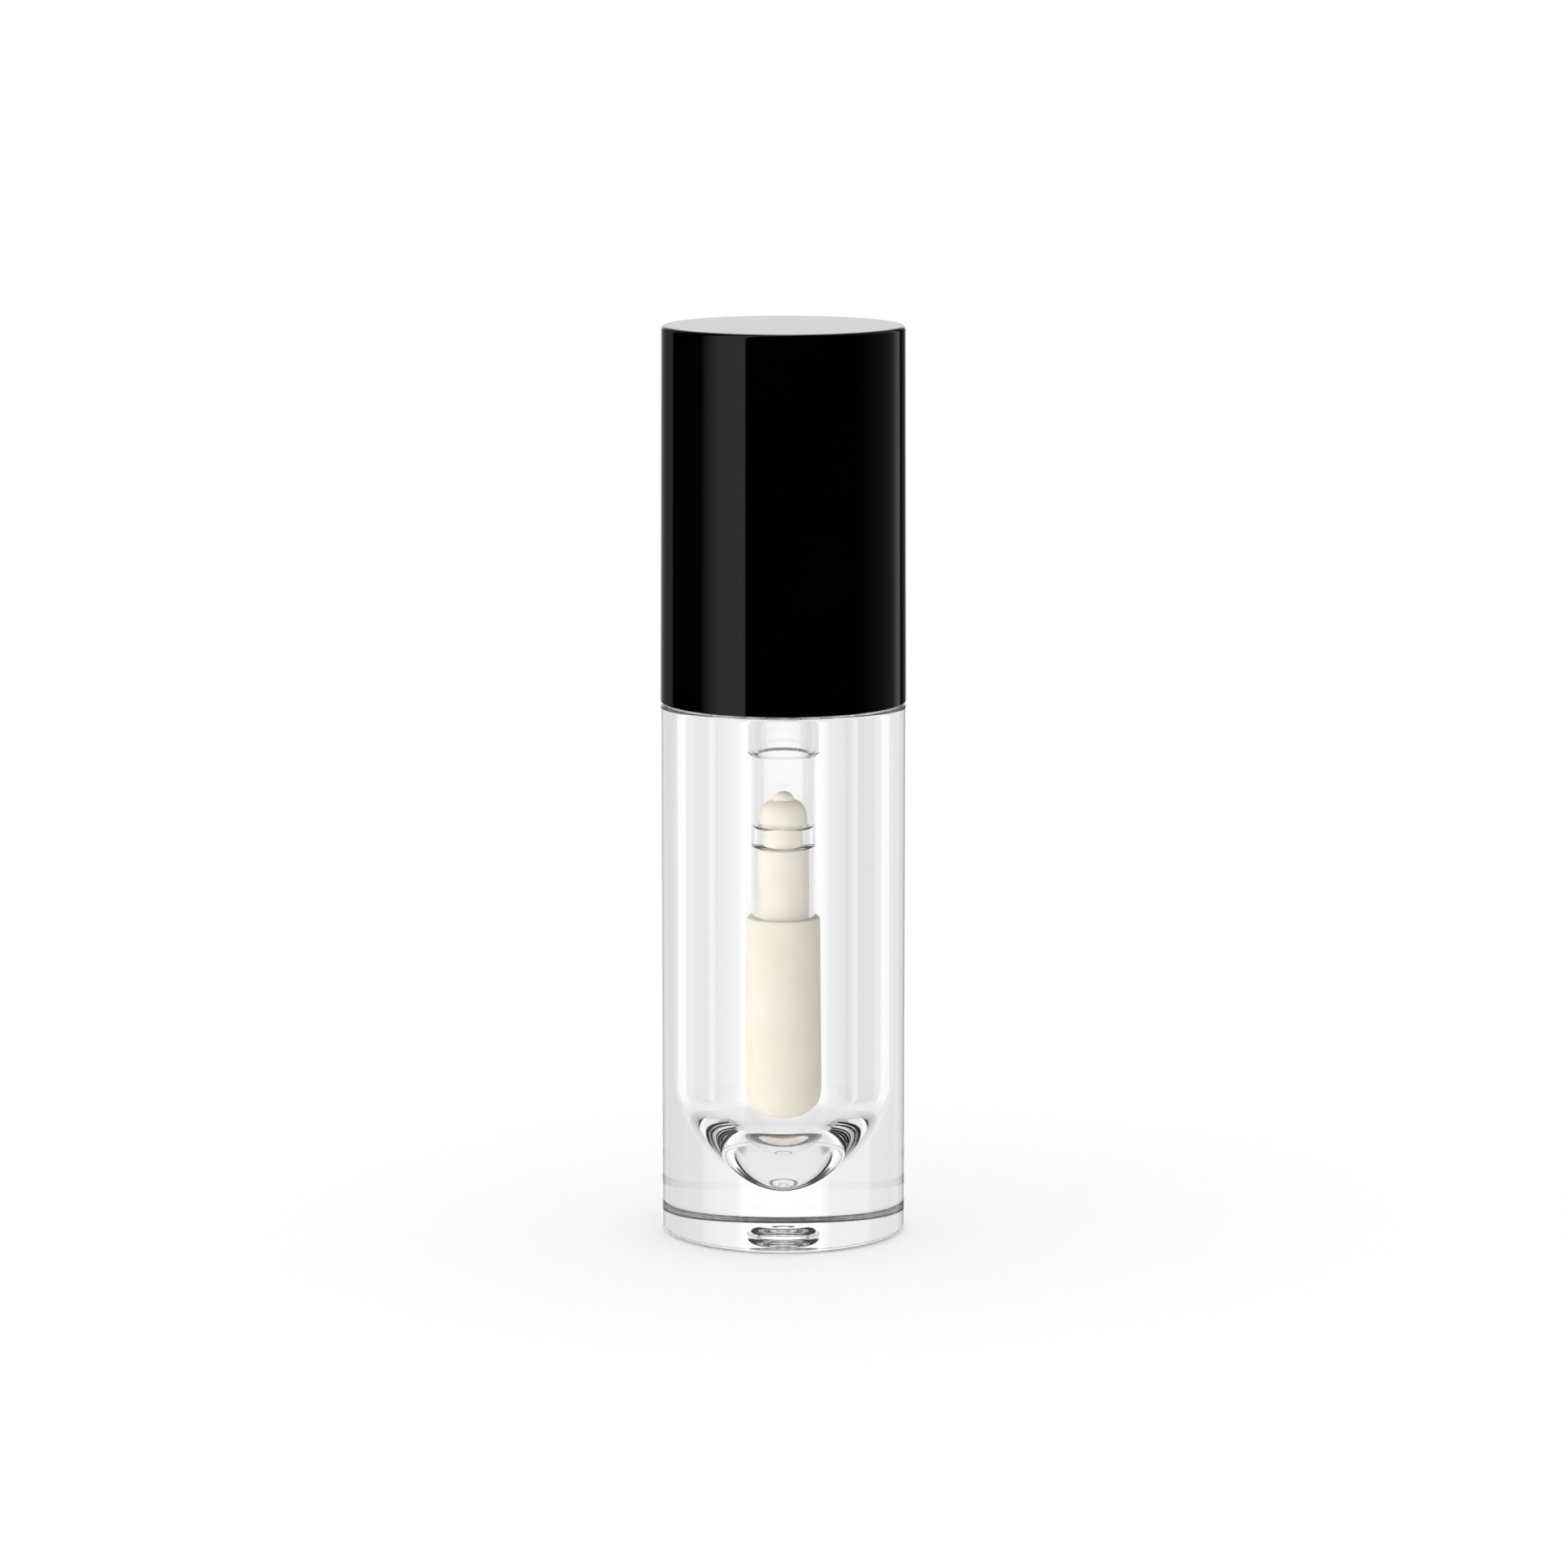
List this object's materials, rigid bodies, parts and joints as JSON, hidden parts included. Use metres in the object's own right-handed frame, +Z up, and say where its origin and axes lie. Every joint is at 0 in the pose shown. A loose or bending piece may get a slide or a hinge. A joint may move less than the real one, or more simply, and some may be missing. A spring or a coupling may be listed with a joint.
{
  "type": "lip gloss tube",
  "caption": "Clear thick-walled cylindrical vial with a wiper, a glossy black screw cap and a hollow wand with a soft bullet applicator.",
  "frame": {"origin": "centre of the base that the tube stands on", "axes": "+Z up along the tube's axis, from the base to the cap; X and Y are any two directions across it"},
  "size_m": [0.02, 0.02, 0.0742],
  "materials": {
    "clear_vial": "clear, polished",
    "clear_wiper": "clear, polished",
    "washer_foam": "matte foam",
    "clear_stem": "clear, polished",
    "soft_tip": "soft satin",
    "cap_liner": "natural moulded",
    "black_gloss": "high gloss"
  },
  "bodies": {
    "bottle": {"vial": "clear_vial", "wiper": "clear_wiper"},
    "washer": {"seal_washer": "washer_foam"},
    "wand": {"wand_stem": "clear_stem", "applicator_tip": "soft_tip"},
    "cap": {"cap_shell": "black_gloss", "inner_cap": "cap_liner"}
  },
  "joints": [
    {"name": "wand_pull", "type": "slide", "parent": "bottle", "child": "washer", "axis": [0, 0, 1], "range_m": [0, 0.055], "deforming": ["wiper"]},
    {"name": "cap_rise", "type": "slide", "parent": "washer", "child": "wand", "axis": [0, 0, 1], "range_m": [0, 0.0045]},
    {"name": "cap_turn", "type": "hinge", "parent": "wand", "child": "cap", "pos_m": [0, 0, 0.0437], "axis": [0, 0, 1], "range_deg": [0, 540]}
  ],
  "couplings": [
    {"joint": "cap_rise", "follows": "cap_turn", "m_per_rad": 0.00047746}
  ]
}
